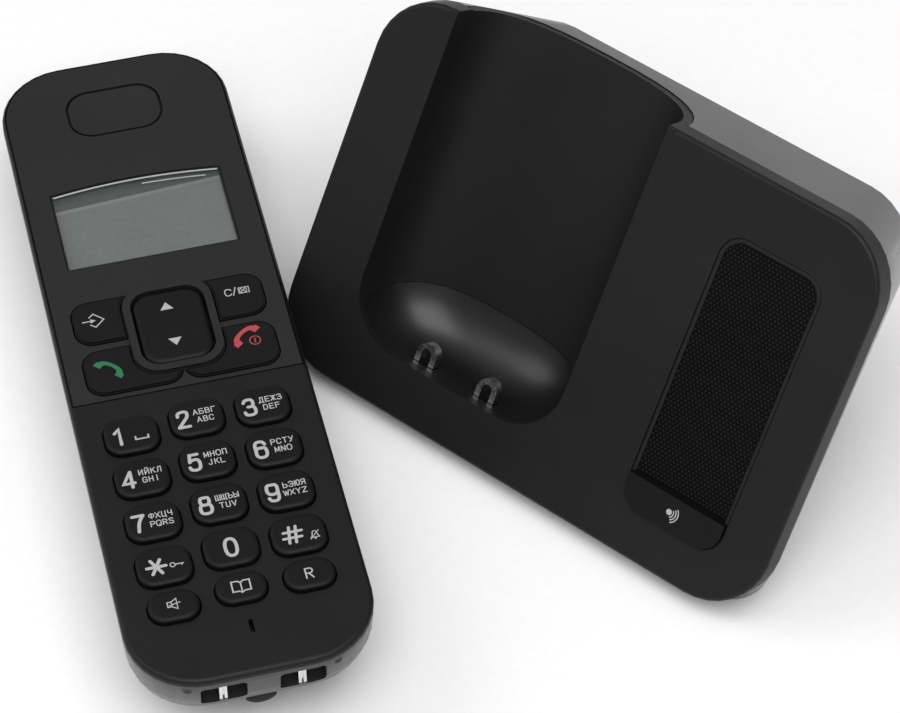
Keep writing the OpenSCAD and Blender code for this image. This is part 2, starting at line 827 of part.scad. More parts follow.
// flat end plates and tapered coil springs of the battery bay
module battery_springs() color(c_metal) in_handset()
    for (side = [-1, 1])
        translate([side * cell_x, 0, cell_z]) {
            for (y = [bay_low + 0.1, bay_low + bay_l - 0.5])
                translate([-4, y, -4]) cube([8, 0.4, 8]);
            translate([0, side > 0 ? bay_low + 0.5 : bay_low + bay_l - 0.5, 0])
                rotate([side > 0 ? -90 : 90, 0, 0])
                for (k = [0 : 3])
                    translate([0, 0, 0.9 * k])
                        rotate_extrude() translate([3.4 - 0.4 * k, 0.45]) circle(0.45, $fn = 16);
        }

module charge_strips() color(c_metal) in_handset()
    for (x = [-1, 1])
        translate([x * contact_pitch / 2 - strip_w / 2, strip_y, win_z - win_h / 2]) difference() {
            cube([strip_w, 0.8, win_h]);
            translate([strip_w / 2 - 0.2, -eps, -eps]) cube([0.4, 0.5, win_h + 2 * eps]);
        }

module ringer_speaker() color([0.3, 0.3, 0.32]) in_handset()
    translate([0, 120, handset_wall + 0.3]) {
        cylinder(r = 9.5, h = 3.4);
        cylinder(r = 6.5, h = 5);
    }

// oval pad between the charging windows
module foot_bump(grow)
    translate([0, 4.9, 9.6]) scale([3.1 + grow, 1.2 + grow, 1.9 + grow]) sphere(1, $fn = 32);

module handset_foot() color(c_rubber) in_handset() foot_bump(0);

module handset_screws() color(c_metal) in_handset()
    for (x = [-1, 1])
        for (y = [hscrew_low_y, hscrew_high_y])
            translate([x * hscrew_x, y, hscrew_z]) {
                difference() {
                    cylinder(r = 2.2, h = hscrew_head);
                    translate([-1.4, -0.3, -eps]) cube([2.8, 0.6, 0.7]);
                    translate([-0.3, -1.4, -eps]) cube([0.6, 2.8, 0.7]);
                }
                translate([0, 0, 1]) cylinder(r = 0.88, h = 10.4);
            }

// number and lower keys: domed cap, straight sides and a plunger
module number_key(row, col) color(c_key) in_handset()
    translate([key_x(col), key_y(row) + column_dy[col], 0]) {
        hull()
            corner_buttons(-key_wide(row) / 2, key_wide(row) / 2,
                -key_len(row) / 2, key_len(row) / 2, key_r,
                button_profile(key_r, key_dome_e, key_dome_f, key_foot_z + 0.8, handset_t + key_rise, 5));
        translate([0, 0, key_foot_z]) cylinder(r = 2, h = 0.9);
    }

// function keys: outline with a stepped, softened top
module function_key_body() {
    shoulder_z = handset_t + fn_rise - fn_soft;
    translate([0, 0, key_foot_z + 0.8]) linear_extrude(shoulder_z - key_foot_z - 0.8) children(0);
    translate([0, 0, shoulder_z - eps]) linear_extrude(fn_soft) children(1);
    translate([0, 0, key_foot_z]) linear_extrude(0.9) children(2);
}

module menu_key() color(c_key) in_handset()
    function_key_body() {
        upper_key_2d(0);
        upper_key_2d(-fn_soft);
        translate([-fn_foot_x, fn_top_foot_y]) circle(2);
    }

module clear_key() color(c_key) in_handset() mirror([1, 0, 0])
    function_key_body() {
        upper_key_2d(0);
        upper_key_2d(-fn_soft);
        translate([-fn_foot_x, fn_top_foot_y]) circle(2);
    }

module talk_key() color(c_key) in_handset()
    function_key_body() {
        lower_key_2d(0);
        lower_key_2d(-fn_soft);
        translate([-fn_foot_x, fn_low_foot_y]) circle(2);
    }

module end_key() color(c_key) in_handset() mirror([1, 0, 0])
    function_key_body() {
        lower_key_2d(0);
        lower_key_2d(-fn_soft);
        translate([-fn_foot_x, fn_low_foot_y]) circle(2);
    }

// rocking two-way key
module nav_key() color(c_key) in_handset() translate([nav_x, nav_y, 0]) {
    hull()
        corner_buttons(-nav_w / 2, nav_w / 2, -nav_l / 2, nav_l / 2, nav_r,
            button_profile(nav_r, 1.2, 0.9, key_foot_z + 1.4, handset_t + nav_rise, 4));
    // round rib that it rocks on
    translate([-4, 0, key_foot_z + 1.4]) rotate([0, 90, 0]) cylinder(r = 1, h = 8);
}

base_front_shell();
base_rear_shell();
cradle_insert();
grille_mesh();
page_key();
base_board();
radio_shield();
page_switch();
base_buzzer();
contact_holder();
charge_contact_left();
charge_contact_right();
line_socket();
power_socket();
base_feet();
base_screws();
handset_front_housing();
handset_faceplate();
handset_rear_housing();
battery_cover();
display_lens();
display_glass();
display_holder();
earpiece_cap();
earpiece_speaker();
microphone();
ringer_speaker();
keypad_mat();
handset_board();
battery_cells();
battery_springs();
charge_strips();
handset_foot();
handset_screws();
nav_key();
menu_key();
clear_key();
talk_key();
end_key();
number_key(0, 0);  // key_1
number_key(0, 1);  // key_2
number_key(0, 2);  // key_3
number_key(1, 0);  // key_4
number_key(1, 1);  // key_5
number_key(1, 2);  // key_6
number_key(2, 0);  // key_7
number_key(2, 1);  // key_8
number_key(2, 2);  // key_9
number_key(3, 0);  // key_star
number_key(3, 1);  // key_0
number_key(3, 2);  // key_hash
number_key(4, 0);  // key_mute
number_key(4, 1);  // key_book
number_key(4, 2);  // key_recall
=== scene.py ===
import bpy
import json
import math
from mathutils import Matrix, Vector
from mathutils.bvhtree import BVHTree


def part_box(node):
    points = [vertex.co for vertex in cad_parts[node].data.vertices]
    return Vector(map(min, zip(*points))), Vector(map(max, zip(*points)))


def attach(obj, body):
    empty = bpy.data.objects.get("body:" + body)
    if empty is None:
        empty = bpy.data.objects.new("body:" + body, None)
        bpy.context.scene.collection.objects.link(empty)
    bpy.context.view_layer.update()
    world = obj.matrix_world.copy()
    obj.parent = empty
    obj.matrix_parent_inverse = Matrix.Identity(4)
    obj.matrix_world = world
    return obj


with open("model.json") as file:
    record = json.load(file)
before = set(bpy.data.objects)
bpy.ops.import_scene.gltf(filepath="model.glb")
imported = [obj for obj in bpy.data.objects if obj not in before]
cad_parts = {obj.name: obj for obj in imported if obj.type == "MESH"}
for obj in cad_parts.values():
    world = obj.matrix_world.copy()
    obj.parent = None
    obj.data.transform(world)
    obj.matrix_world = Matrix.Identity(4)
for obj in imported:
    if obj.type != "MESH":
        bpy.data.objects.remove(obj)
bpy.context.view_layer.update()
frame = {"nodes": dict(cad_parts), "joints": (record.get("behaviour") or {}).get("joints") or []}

NODES = frame["nodes"]
JOINTS = {j["name"]: j for j in frame["joints"]}
MM = 0.001

# ---------------------------------------------------------------- frames
# handset: HX to its right, HY to its upper end, HZ out of its keys
HY = -Vector(JOINTS["battery_cover_slide"]["axis"]).normalized()
HX = Vector((HY.y, -HY.x, 0.0))
HZ = Vector((0.0, 0.0, 1.0))
# face of the base: FX to the right, FU up its slope, FN out of it
FN = -Vector(JOINTS["page_key_press"]["axis"]).normalized()
FU = -Vector(JOINTS["charge_contact_left_press"]["axis"]).normalized()
FX = Vector((1.0, 0.0, 0.0))
HANDSET_LENGTH = 162 * MM


def centre(node):
    lo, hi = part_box(node)
    return (lo + hi) / 2


HC = centre("handset_front_housing")
HC.z = 0.0
HO = HC - HANDSET_LENGTH / 2 * HY
FACE_ORIGIN = Vector((0.0, -34 * MM, 5 * MM))


def hp(x, y, z):
    """A point of the handset, from millimetres in its own frame."""
    return HO + HX * x * MM + HY * y * MM + HZ * z * MM


def fp(x, y, z):
    """A point of the base, from millimetres in the frame of its face."""
    return FACE_ORIGIN + FX * x * MM + FU * y * MM + FN * z * MM


# ---------------------------------------------------------------- materials
MATS = {}
FINE_SHARE = 0.35


def new_mat(name):
    """A new material with nothing but its shader: (node tree, shader)."""
    m = bpy.data.materials.new(name)
    m.use_nodes = True
    nt = m.node_tree
    for n in list(nt.nodes):
        if n.type not in ("OUTPUT_MATERIAL", "BSDF_PRINCIPLED"):
            nt.nodes.remove(n)
    MATS[name] = m
    return nt, nt.nodes["Principled BSDF"]


def node(nt, kind, **props):
    n = nt.nodes.new(kind)
    for k, v in props.items():
        setattr(n, k, v)
    return n


def coords(nt):
    return node(nt, "ShaderNodeTexCoord").outputs["Object"]


def noise(nt, vec, scale, detail=2.0, rough=0.5):
    n = node(nt, "ShaderNodeTexNoise")
    n.inputs["Scale"].default_value = scale
    n.inputs["Detail"].default_value = detail
    n.inputs["Roughness"].default_value = rough
    nt.links.new(vec, n.inputs["Vector"])
    return n.outputs["Fac"]


def ramp(nt, fac, stops):
    r = node(nt, "ShaderNodeValToRGB")
    el = r.color_ramp.elements
    while len(el) < len(stops):
        el.new(0.5)
    for e, (p, c) in zip(el, stops):
        e.position = p
        e.color = (*c, 1)
    nt.links.new(fac, r.inputs["Fac"])
    return r.outputs["Color"]


def map_range(nt, fac, lo, hi, from_lo=0.0, from_hi=1.0):
    m = node(nt, "ShaderNodeMapRange")
    m.inputs["From Min"].default_value = from_lo
    m.inputs["From Max"].default_value = from_hi
    m.inputs["To Min"].default_value = lo
    m.inputs["To Max"].default_value = hi
    nt.links.new(fac, m.inputs["Value"])
    return m.outputs["Result"]


def add_bump(nt, bsdf, height, strength, distance):
    b = node(nt, "ShaderNodeBump")
    b.inputs["Strength"].default_value = strength
    b.inputs["Distance"].default_value = distance
    nt.links.new(height, b.inputs["Height"])
    nt.links.new(b.outputs["Normal"], bsdf.inputs["Normal"])


def shade(nt, bsdf, fac, stops, rough_fac, rough, bump_fac, strength, distance):
    """Colour, roughness and bump of a surface, each from its own pattern."""
    nt.links.new(ramp(nt, fac, stops), bsdf.inputs["Base Color"])
    nt.links.new(map_range(nt, rough_fac, *rough), bsdf.inputs["Roughness"])
    add_bump(nt, bsdf, bump_fac, strength, distance)


def plastic(name, colour, rough, spread=0.06, grain=3200.0, grain_h=0.000012, strength=0.25, tint=0.12,
            spec=0.5):
    """Moulded plastic: spark-eroded grain, cloudy sheen and slightly uneven colour."""
    nt, b = new_mat(name)
    v = coords(nt)
    cloud = noise(nt, v, 45.0, 3.0, 0.55)
    fine = noise(nt, v, 900.0, 2.0, 0.6)
    lo = tuple(c * (1 - tint) for c in colour)
    hi = tuple(min(1, c * (1 + tint)) for c in colour)
    mix = node(nt, "ShaderNodeMath", operation="ADD")
    faint = node(nt, "ShaderNodeMath", operation="MULTIPLY")
    faint.inputs[1].default_value = FINE_SHARE
    nt.links.new(fine, faint.inputs[0])
    nt.links.new(cloud, mix.inputs[0])
    nt.links.new(faint.outputs[0], mix.inputs[1])
    b.inputs["Specular IOR Level"].default_value = spec
    shade(nt, b, mix.outputs[0], [(0.35, lo), (0.95, hi)],
          mix.outputs[0], (rough - spread, rough + spread, 0.4, 0.95),
          noise(nt, v, grain, 2.0, 0.7), strength, grain_h)


def metal(name, colour, rough):
    """Plated or rolled metal with a fine grain and uneven polish."""
    nt, b = new_mat(name)
    v = coords(nt)
    n1 = noise(nt, v, 1400.0, 3.0, 0.6)
    n2 = noise(nt, v, 160.0, 3.0, 0.6)
    b.inputs["Metallic"].default_value = 1.0
    shade(nt, b, n2, [(0.3, tuple(c * 0.82 for c in colour)), (0.75, colour)],
          n1, (rough * 0.7, rough * 1.5, 0.3, 0.7), n1, 0.15, 0.000015)


def ink(name, colour):
    """Pad-printed legend: slightly uneven cover of ink."""
    nt, b = new_mat(name)
    n1 = noise(nt, coords(nt), 2600.0, 3.0, 0.7)
    shade(nt, b, n1, [(0.25, tuple(c * 0.80 for c in colour)), (0.6, colour)],
          n1, (0.42, 0.58), n1, 0.15, 0.00001)


plastic("front_shell", (0.0088, 0.0088, 0.0094), 0.48, grain_h=0.000014, strength=0.30, spec=0.22)
plastic("rear_shell", (0.0100, 0.0104, 0.0100), 0.24, spread=0.04, grain_h=0.000006, strength=0.12, spec=0.6)
plastic("insert", (0.0060, 0.0060, 0.0065), 0.36, spread=0.05, grain_h=0.000006, strength=0.10)
plastic("housing", (0.0060, 0.0060, 0.0064), 0.50, grain_h=0.000014, strength=0.30, spec=0.26)
plastic("faceplate", (0.0120, 0.0120, 0.0124), 0.52, grain_h=0.000014, strength=0.30, spec=0.34)
plastic("handset_rear", (0.030, 0.030, 0.031), 0.30, grain_h=0.000010, strength=0.2)
plastic("key_rubber", (0.0042, 0.0042, 0.0046), 0.52, grain_h=0.000010, strength=0.2, spec=0.20)
plastic("mesh_dots", (0.0085, 0.0085, 0.0092), 0.55, grain_h=0.000008, spec=0.12)
# painted shade: the grille's ground is near-black, darker than the plastic round it, for the shade between and
# under the raised dots
plastic("mesh_painted_shade", (0.0012, 0.0012, 0.0014), 0.6, grain_h=0.000008, spec=0.08)
plastic("page_cap", (0.0036, 0.0036, 0.0039), 0.48, grain_h=0.000010, spec=0.20)
plastic("inner_plastic", (0.0060, 0.0060, 0.0065), 0.55)
plastic("lens_line", (0.0020, 0.0020, 0.0020), 0.30)
# painted highlight: light grey for the reflection along the lens's bevel and for a glint on the lens
plastic("painted_bevel_highlight", (0.42, 0.43, 0.42), 0.20, tint=0.06)
plastic("board", (0.010, 0.075, 0.030), 0.35, grain=900.0)
plastic("silicone", (0.12, 0.12, 0.12), 0.6)
plastic("rubber_pad", (0.007, 0.007, 0.007), 0.8, grain=1500.0, grain_h=0.00003)
plastic("cell", (0.02, 0.13, 0.05), 0.25)
metal("contact", (0.80, 0.79, 0.76), 0.20)
metal("tin", (0.62, 0.62, 0.62), 0.32)
metal("screw", (0.50, 0.50, 0.51), 0.30)
metal("speaker", (0.22, 0.22, 0.23), 0.4)
ink("legend_white", (0.44, 0.44, 0.45))
ink("legend_green", (0.012, 0.175, 0.060))
ink("legend_red", (0.46, 0.055, 0.06))


def lens_mat():
    """Clear cover of the display, slightly smoked."""
    nt, b = new_mat("lens")
    n1 = noise(nt, coords(nt), 60.0, 3.0, 0.6)
    b.inputs["Alpha"].default_value = 0.22
    b.inputs["Specular IOR Level"].default_value = 0.9
    b.inputs["Coat Weight"].default_value = 0.6
    b.inputs["Coat Roughness"].default_value = 0.04
    shade(nt, b, n1, [(0.3, (0.10, 0.11, 0.11)), (0.7, (0.12, 0.13, 0.13))],
          n1, (0.04, 0.09), n1, 0.03, 0.00002)


def lcd_mat():
    """Reflective display cell, grey-green and slightly cloudy."""
    nt, b = new_mat("lcd")
    v = coords(nt)
    n1 = noise(nt, v, 700.0, 2.0, 0.6)
    n2 = noise(nt, v, 30.0, 2.0, 0.5)
    add = node(nt, "ShaderNodeMath", operation="ADD")
    nt.links.new(n1, add.inputs[0])
    nt.links.new(n2, add.inputs[1])
    shade(nt, b, add.outputs[0], [(0.6, (0.225, 0.245, 0.238)), (1.3, (0.265, 0.285, 0.278))],
          n1, (0.28, 0.36), n1, 0.1, 0.00001)


def lcd_band(name, grain, dark, light):
    """A flat band painted on the display, with a faint grain: its painted shadow and its painted highlight."""
    nt, b = new_mat(name)
    n1 = noise(nt, coords(nt), grain, 2.0, 0.6)
    shade(nt, b, n1, [(0.3, dark), (0.7, light)], n1, (0.3, 0.4), n1, 0.1, 0.00001)


lens_mat()
lcd_mat()
# painted shade and painted highlight of the display: a dark band for the shadow at its top, a light band for
# the reflection on the glass edge
lcd_band("lcd_painted_shadow", 500.0, (0.078, 0.088, 0.086), (0.095, 0.105, 0.102))
lcd_band("lcd_painted_highlight", 300.0, (0.325, 0.340, 0.336), (0.355, 0.370, 0.366))

NODE_MAT = {
    "base_front_shell": "front_shell", "base_rear_shell": "rear_shell", "cradle_insert": "insert",
    "grille_mesh": "mesh_painted_shade", "page_key": "page_cap", "base_board": "board", "radio_shield": "tin",
    "page_switch": "inner_plastic", "base_buzzer": "inner_plastic", "contact_holder": "inner_plastic",
    "charge_contact_left": "contact", "charge_contact_right": "contact", "line_socket": "inner_plastic",
    "power_socket": "inner_plastic", "base_feet": "rubber_pad", "base_screws": "screw",
    "handset_front_housing": "housing", "handset_faceplate": "faceplate",
    "handset_rear_housing": "handset_rear", "battery_cover": "handset_rear", "display_lens": "lens",
    "display_glass": "lcd", "display_holder": "inner_plastic", "earpiece_cap": "faceplate",
    "earpiece_speaker": "speaker", "microphone": "speaker", "ringer_speaker": "speaker",
    "keypad_mat": "silicone", "handset_board": "board", "battery_cells": "cell",
    "battery_springs": "tin", "charge_strips": "contact", "handset_foot": "rubber_pad",
    "handset_screws": "screw",
}
for name, obj in NODES.items():
    mat = MATS[NODE_MAT.get(name, "key_rubber")]
    if not obj.material_slots:
        obj.data.materials.append(mat)
    for s in obj.material_slots:
        s.material = mat


# ---------------------------------------------------------------- smooth shading of the CAD nodes
SHARP_ANGLE = 32
WELD = 0.000002


def smooth_group(angle):
    """Geometry nodes: join split corners, shade smooth, and keep edges over the angle sharp."""
    g = bpy.data.node_groups.new("smooth_by_angle_%d" % angle, "GeometryNodeTree")
    g.interface.new_socket("Geometry", in_out="INPUT", socket_type="NodeSocketGeometry")
    g.interface.new_socket("Geometry", in_out="OUTPUT", socket_type="NodeSocketGeometry")
    gi = g.nodes.new("NodeGroupInput")
    go = g.nodes.new("NodeGroupOutput")
    merge = g.nodes.new("GeometryNodeMergeByDistance")
    merge.inputs["Distance"].default_value = WELD
    face = g.nodes.new("GeometryNodeSetShadeSmooth")
    face.domain = "FACE"
    edge = g.nodes.new("GeometryNodeSetShadeSmooth")
    edge.domain = "EDGE"
    ang = g.nodes.new("GeometryNodeInputMeshEdgeAngle")
    cmp = g.nodes.new("FunctionNodeCompare")
    cmp.data_type = "FLOAT"
    cmp.operation = "GREATER_THAN"
    cmp.inputs["B"].default_value = math.radians(angle)
    g.links.new(gi.outputs[0], merge.inputs["Geometry"])
    g.links.new(merge.outputs["Geometry"], face.inputs["Geometry"])
    g.links.new(face.outputs["Geometry"], edge.inputs["Geometry"])
    g.links.new(ang.outputs["Unsigned Angle"], cmp.inputs["A"])
    g.links.new(cmp.outputs["Result"], edge.inputs["Selection"])
    edge.inputs["Shade Smooth"].default_value = False
    g.links.new(edge.outputs["Geometry"], go.inputs[0])
    return g


SMOOTH = smooth_group(SHARP_ANGLE)
for name, obj in NODES.items():
    if obj.data.has_custom_normals:
        with bpy.context.temp_override(object=obj, active_object=obj, selected_editable_objects=[obj]):
            bpy.ops.mesh.customdata_custom_splitnormals_clear()
    mod = obj.modifiers.new("smooth", "NODES")
    mod.node_group = SMOOTH
    wn = obj.modifiers.new("weighted", "WEIGHTED_NORMAL")
    wn.mode = "FACE_AREA_WITH_ANGLE"
    wn.keep_sharp = True
    wn.weight = 60


# ---------------------------------------------------------------- helpers for new pieces
def add_mesh(name, verts, faces, mat, body, smooth=False):
    """A new piece that rides on a body, with its material in one slot."""
    me = bpy.data.meshes.new(name)
    me.from_pydata([tuple(v) for v in verts], [], faces)
    me.validate()
    ob = bpy.data.objects.new(name, me)
    bpy.context.scene.collection.objects.link(ob)
    me.materials.append(MATS[mat])
    for p in me.polygons:
        p.use_smooth = smooth
    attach(ob, body)


TREES = {}
RAY_START = 10 * MM
PRINT_LIFT = 0.04 * MM
LAYER_LIFT = 0.0025 * MM
ROUNDS = 3
CAP_STEPS = 6
MITRE_LIMIT = 0.62


def drop(points, node_name, up, lift):
    """Moves points down onto the node's surface, and out again by lift."""
    if node_name not in TREES:
        TREES[node_name] = BVHTree.FromObject(NODES[node_name], bpy.context.evaluated_depsgraph_get())
    out = []
    for p in points:
        hit = TREES[node_name].ray_cast(p + up * RAY_START, -up)
        out.append((hit[0] if hit[0] is not None else p) + up * lift)
    return out


def rounded(points, closed=False):
    """Cuts the corners of a 2D line again and again, until it looks like a smooth curve."""
    pts = [Vector(p) for p in points]
    for _ in range(ROUNDS):
        n = len(pts)
        out = [] if closed else [pts[0]]
        for i in range(n if closed else n - 1):
            p, q = pts[i], pts[(i + 1) % n]
            out += [p.lerp(q, 0.25), p.lerp(q, 0.75)]
        if not closed:
            out.append(pts[-1])
        pts = out
    return pts


def pen(points, width, closed=False):
    """A pen stroke with round ends along 2D points: (vertices, faces)."""
    pts = [Vector(p) for p in points]
    n = len(pts)
    left, right = [], []
    for i, p in enumerate(pts):
        a = pts[i - 1] if (i > 0 or closed) else None
        b = pts[(i + 1) % n] if (i < n - 1 or closed) else None
        d1 = (p - a).normalized() if a is not None else (b - p).normalized()
        d2 = (b - p).normalized() if b is not None else d1
        d = d1 + d2
        d = d.normalized() if d.length > 1e-6 else d1
        k = Vector((-d.y, d.x)) * width / 2 / max(MITRE_LIMIT, d.dot(d1))
        left.append(p + k)
        right.append(p - k)
    verts = left + right
    faces = [(i, n + i, n + (i + 1) % n, (i + 1) % n) for i in range(n if closed else n - 1)]
    if not closed:
        for at, start in ((pts[-1], left[-1] - pts[-1]), (pts[0], right[0] - pts[0])):
            base = len(verts)
            for i in range(CAP_STEPS + 1):
                t = -math.pi * i / CAP_STEPS
                verts.append(at + Vector((start.x * math.cos(t) - start.y * math.sin(t),
                                          start.x * math.sin(t) + start.y * math.cos(t))))
            faces.append(tuple(range(base, base + CAP_STEPS + 1)))
    return verts, faces


def blot(points):
    """A filled 2D outline: (vertices, faces)."""
    return [Vector(p) for p in points], [tuple(range(len(points)))]


def moved(part, dx=0.0, dy=0.0, turn=0.0, k=1.0):
    """A part scaled by k, turned and then moved."""
    c, s = math.cos(turn) * k, math.sin(turn) * k
    return [Vector((v.x * c - v.y * s + dx, v.x * s + v.y * c + dy)) for v in part[0]], part[1]


GRID_W, GRID_H = 4, 6
# strokes of each sign on that grid; ~ marks a line that is smoothed, = a closed and smoothed one
SIGNS = {
    "0": "=4,6.2 4,-0.2 0,-0.2 0,6.2",
    "1": "0.6,4.6 2.3,6 2.3,0",
    "2": "~0.2,4.4 0.4,6 3.7,6.2 3.7,4 2.4,2.6 0,0.1;0,0 3.9,0",
    "3": "~0.2,5 0.8,6.1 3.6,6.1 3.6,3.2 1.6,3.2;~1.6,3.2 4,3.2 4,-0.1 0.5,-0.1 0.1,1.2",
    "4": "3,0 3,6;3,6 0,1.6 4,1.6",
    "5": "3.6,6 0.8,6 0.4,3.2;~0.4,3.2 1.2,4 3.9,4 3.9,-0.1 0.6,-0.1 0.1,1.2",
    "6": "=2,3.7 3.9,3.6 3.9,-0.1 0.1,-0.1 0.1,3.6;~0.15,2.2 0.1,6.1 3,6.2 3.7,4.9",
    "7": "0,6 3.9,6;~3.9,6 2,3.6 1.4,0",
    "8": "=2,6.1 3.6,6.1 3.6,3.3 0.4,3.3 0.4,6.1;=2,3.3 4,3.3 4,-0.1 0,-0.1 0,3.3",
    "9": "=2,6.1 3.9,6.1 3.9,2.4 0.1,2.4 0.1,6.1;~3.85,3.8 3.9,-0.1 1,-0.2 0.3,1.1",
    "A": "0,0 2,6;2,6 4,0;0.8,2 3.2,2",
    "B": "0.3,0 0.3,6;~0.3,6 3.7,6 3.7,3.2 0.3,3.2;~0.3,3.2 4,3.2 4,0 0.3,0",
    "C": "~3.9,4.6 3.2,6 0.1,6.1 0.1,-0.1 3.2,0 3.9,1.4",
    "D": "0.3,0 0.3,6;~0.3,6 3.9,6 3.9,0 0.3,0",
    "E": "3.8,6 0.3,6 0.3,0 3.8,0;0.3,3.1 3.4,3.1",
    "F": "3.8,6 0.3,6 0.3,0;0.3,3.1 3.4,3.1",
    "G": "~3.8,4.8 3.2,6 0.1,6.1 0.1,-0.1 3.2,0 3.9,1.2;3.9,1.2 3.9,2.8 2.3,2.8",
    "H": "0.3,0 0.3,6;3.7,0 3.7,6;0.3,3.1 3.7,3.1",
    "I": "2,0 2,6",
    "J": "3,6 3,1.6;~3,1.6 3,0 0.6,-0.1 0.3,1.4",
    "K": "0.3,0 0.3,6;3.8,6 0.3,2.6;1.5,3.7 3.9,0",
    "L": "0.3,6 0.3,0 3.8,0",
    "M": "0,0 0,6;0,6 2,1;2,1 4,6;4,6 4,0",
    "N": "0.3,0 0.3,6;0.3,6 3.7,0;3.7,0 3.7,6",
    "O": "=4.2,6.2 4.2,-0.2 -0.2,-0.2 -0.2,6.2",
    "P": "0.3,0 0.3,6;~0.3,6 4,6 4,2.8 0.3,2.8",
    "Q": "=4.2,6.2 4.2,-0.2 -0.2,-0.2 -0.2,6.2;2.4,1.6 4,-0.2",
    "R": "0.3,0 0.3,6;~0.3,6 3.9,6 3.9,3 0.3,3;1.9,3 3.9,0",
    "S": "~3.7,4.9 3.2,6.1 0.3,6.1 0.3,3.4 3.8,2.8 3.9,-0.1 0.6,-0.1 0.1,1.3",
    "T": "0,6 4,6;2,6 2,0",
    "U": "0.3,6 0.3,1.8;~0.3,1.8 0.3,-0.1 3.7,-0.1 3.7,1.8;3.7,1.8 3.7,6",
    "V": "0,6 2,0;2,0 4,6",
    "W": "-0.4,6 0.9,0;0.9,0 2,5;2,5 3.1,0;3.1,0 4.4,6",
    "X": "0,0 4,6;0,6 4,0",
    "Y": "0,6 2,2.9 4,6;2,2.9 2,0",
    "Z": "0,6 4,6;4,6 0,0;0,0 4,0",
    "\u0411": "3.8,6 0.3,6 0.3,0;~0.3,0 4,0 4,3.4 0.3,3.4",
    "\u0413": "3.8,6 0.3,6 0.3,0",
    "\u0414": "0.8,0.2 1.2,6 3.4,6 3.4,0.2;-0.1,-0.9 -0.1,0 4.1,0 4.1,-0.9",
    "\u0416": "2,0 2,6;-0.3,6 2,3 4.3,6;-0.3,0 2,3 4.3,0",
    "\u0417": "~0.2,5 0.8,6.1 3.6,6.1 3.6,3.2 1.6,3.2;~1.6,3.2 4,3.2 4,-0.1 0.5,-0.1 0.1,1.2",
    "\u0418": "0.3,6 0.3,0;0.3,0 3.7,6;3.7,6 3.7,0",
    "\u0419": "0.3,6 0.3,0;0.3,0 3.7,6;3.7,6 3.7,0;~1,7.6 1.4,6.9 2.6,6.9 3,7.6",
    "\u041b": "0,0 0.8,0.6 1.2,6 3.7,6 3.7,0",
    "\u041f": "0.3,0 0.3,6 3.7,6 3.7,0",
    "\u0423": "0.1,6 2.2,2.2;~3.9,6 2.2,1.4 1.6,0 0.5,0",
    "\u0424": "2,0 2,6;=2,5.1 4.3,5.1 4.3,1.6 -0.3,1.6 -0.3,5.1",
    "\u0426": "0.3,6 0.3,0 4,0 4,-1;3.5,6 3.5,0",
    "\u0427": "~0.3,6 0.3,2.8 2,2.8 3.7,3.2;3.7,6 3.7,0",
    "\u0428": "0,6 0,0 4.2,0 4.2,6;2.1,6 2.1,0",
    "\u0429": "0,6 0,0 4.5,0 4.5,-1;4.1,6 4.1,0;2.05,6 2.05,0",
    "\u042a": "-0.2,6 1,6 1,0;~1,0 4.2,0 4.2,3.4 1,3.4",
    "\u042b": "0,6 0,0;~0,0 2.9,0 2.9,3.4 0,3.4;4.2,6 4.2,0",
    "\u042c": "0.4,6 0.4,0;~0.4,0 4,0 4,3.4 0.4,3.4",
    "\u042d": "~0.1,4.8 0.8,6.1 3.9,6.1 3.9,-0.1 0.8,-0.1 0.1,1.2;1.4,3 3.8,3",
    "\u042e": "0,0 0,6;0,3 1.4,3;=2.9,6 4.3,6 4.3,0 1.4,0 1.4,6",
    "\u042f": "3.7,0 3.7,6;~3.7,6 0.1,6 0.1,3 3.7,3;2.1,3 0.1,0",
}
# letters of the second alphabet that look like one of the first
TWINS = {"\u0410": "A", "\u0412": "B", "\u0415": "E", "\u041a": "K", "\u041c": "M", "\u041d": "H",
         "\u041e": "O", "\u0420": "P", "\u0421": "C", "\u0422": "T", "\u0425": "X"}


def sign(text, height, width, weight, gap, dx, dy):
    """A word drawn by strokes, centred at (dx, dy): a list of parts."""
    k, step = height / GRID_H, width + gap
    x0 = dx - (step * len(text) - gap) / 2
    parts = []
    for i, ch in enumerate(text):
        for line in SIGNS[TWINS.get(ch, ch)].split(";"):
            pts = [tuple(float(q) for q in p.split(",")) for p in line.lstrip("~=").split()]
            pts = [(x0 + i * step + x * width / GRID_W, dy + (y - GRID_H / 2) * k) for x, y in pts]
            if line[0] in "~=":
                pts = rounded(pts, line[0] == "=")
            parts.append(pen(pts, weight, line[0] == "="))
    return parts


def place_print(name, parts, at, node_name, mat, frame_axes):
    """Lays printed shapes, given in millimetres round a point, on the top of a key. Each shape lies
    a hair above the one before, so that crossing strokes never share a plane."""
    ax, ay, up = frame_axes
    verts, faces = [], []
    for n, (vs, fs) in enumerate(parts):
        base = len(verts)
        flat = [at + ax * v.x * MM + ay * v.y * MM for v in vs]
        verts += drop(flat, node_name, up, PRINT_LIFT + LAYER_LIFT * n)
        faces += [tuple(base + i for i in f) for f in fs]
    add_mesh(name, verts, faces, mat, node_name + "_body")


def circle(r, n, cx=0.0, cy=0.0):
    return [(cx + r * math.cos(2 * math.pi * i / n), cy + r * math.sin(2 * math.pi * i / n)) for i in range(n)]


def arc_points(cx, cy, r, a0, a1, n):
    turns = [math.radians(a0 + (a1 - a0) * i / n) for i in range(n + 1)]
    return [(cx + r * math.cos(t), cy + r * math.sin(t)) for t in turns]


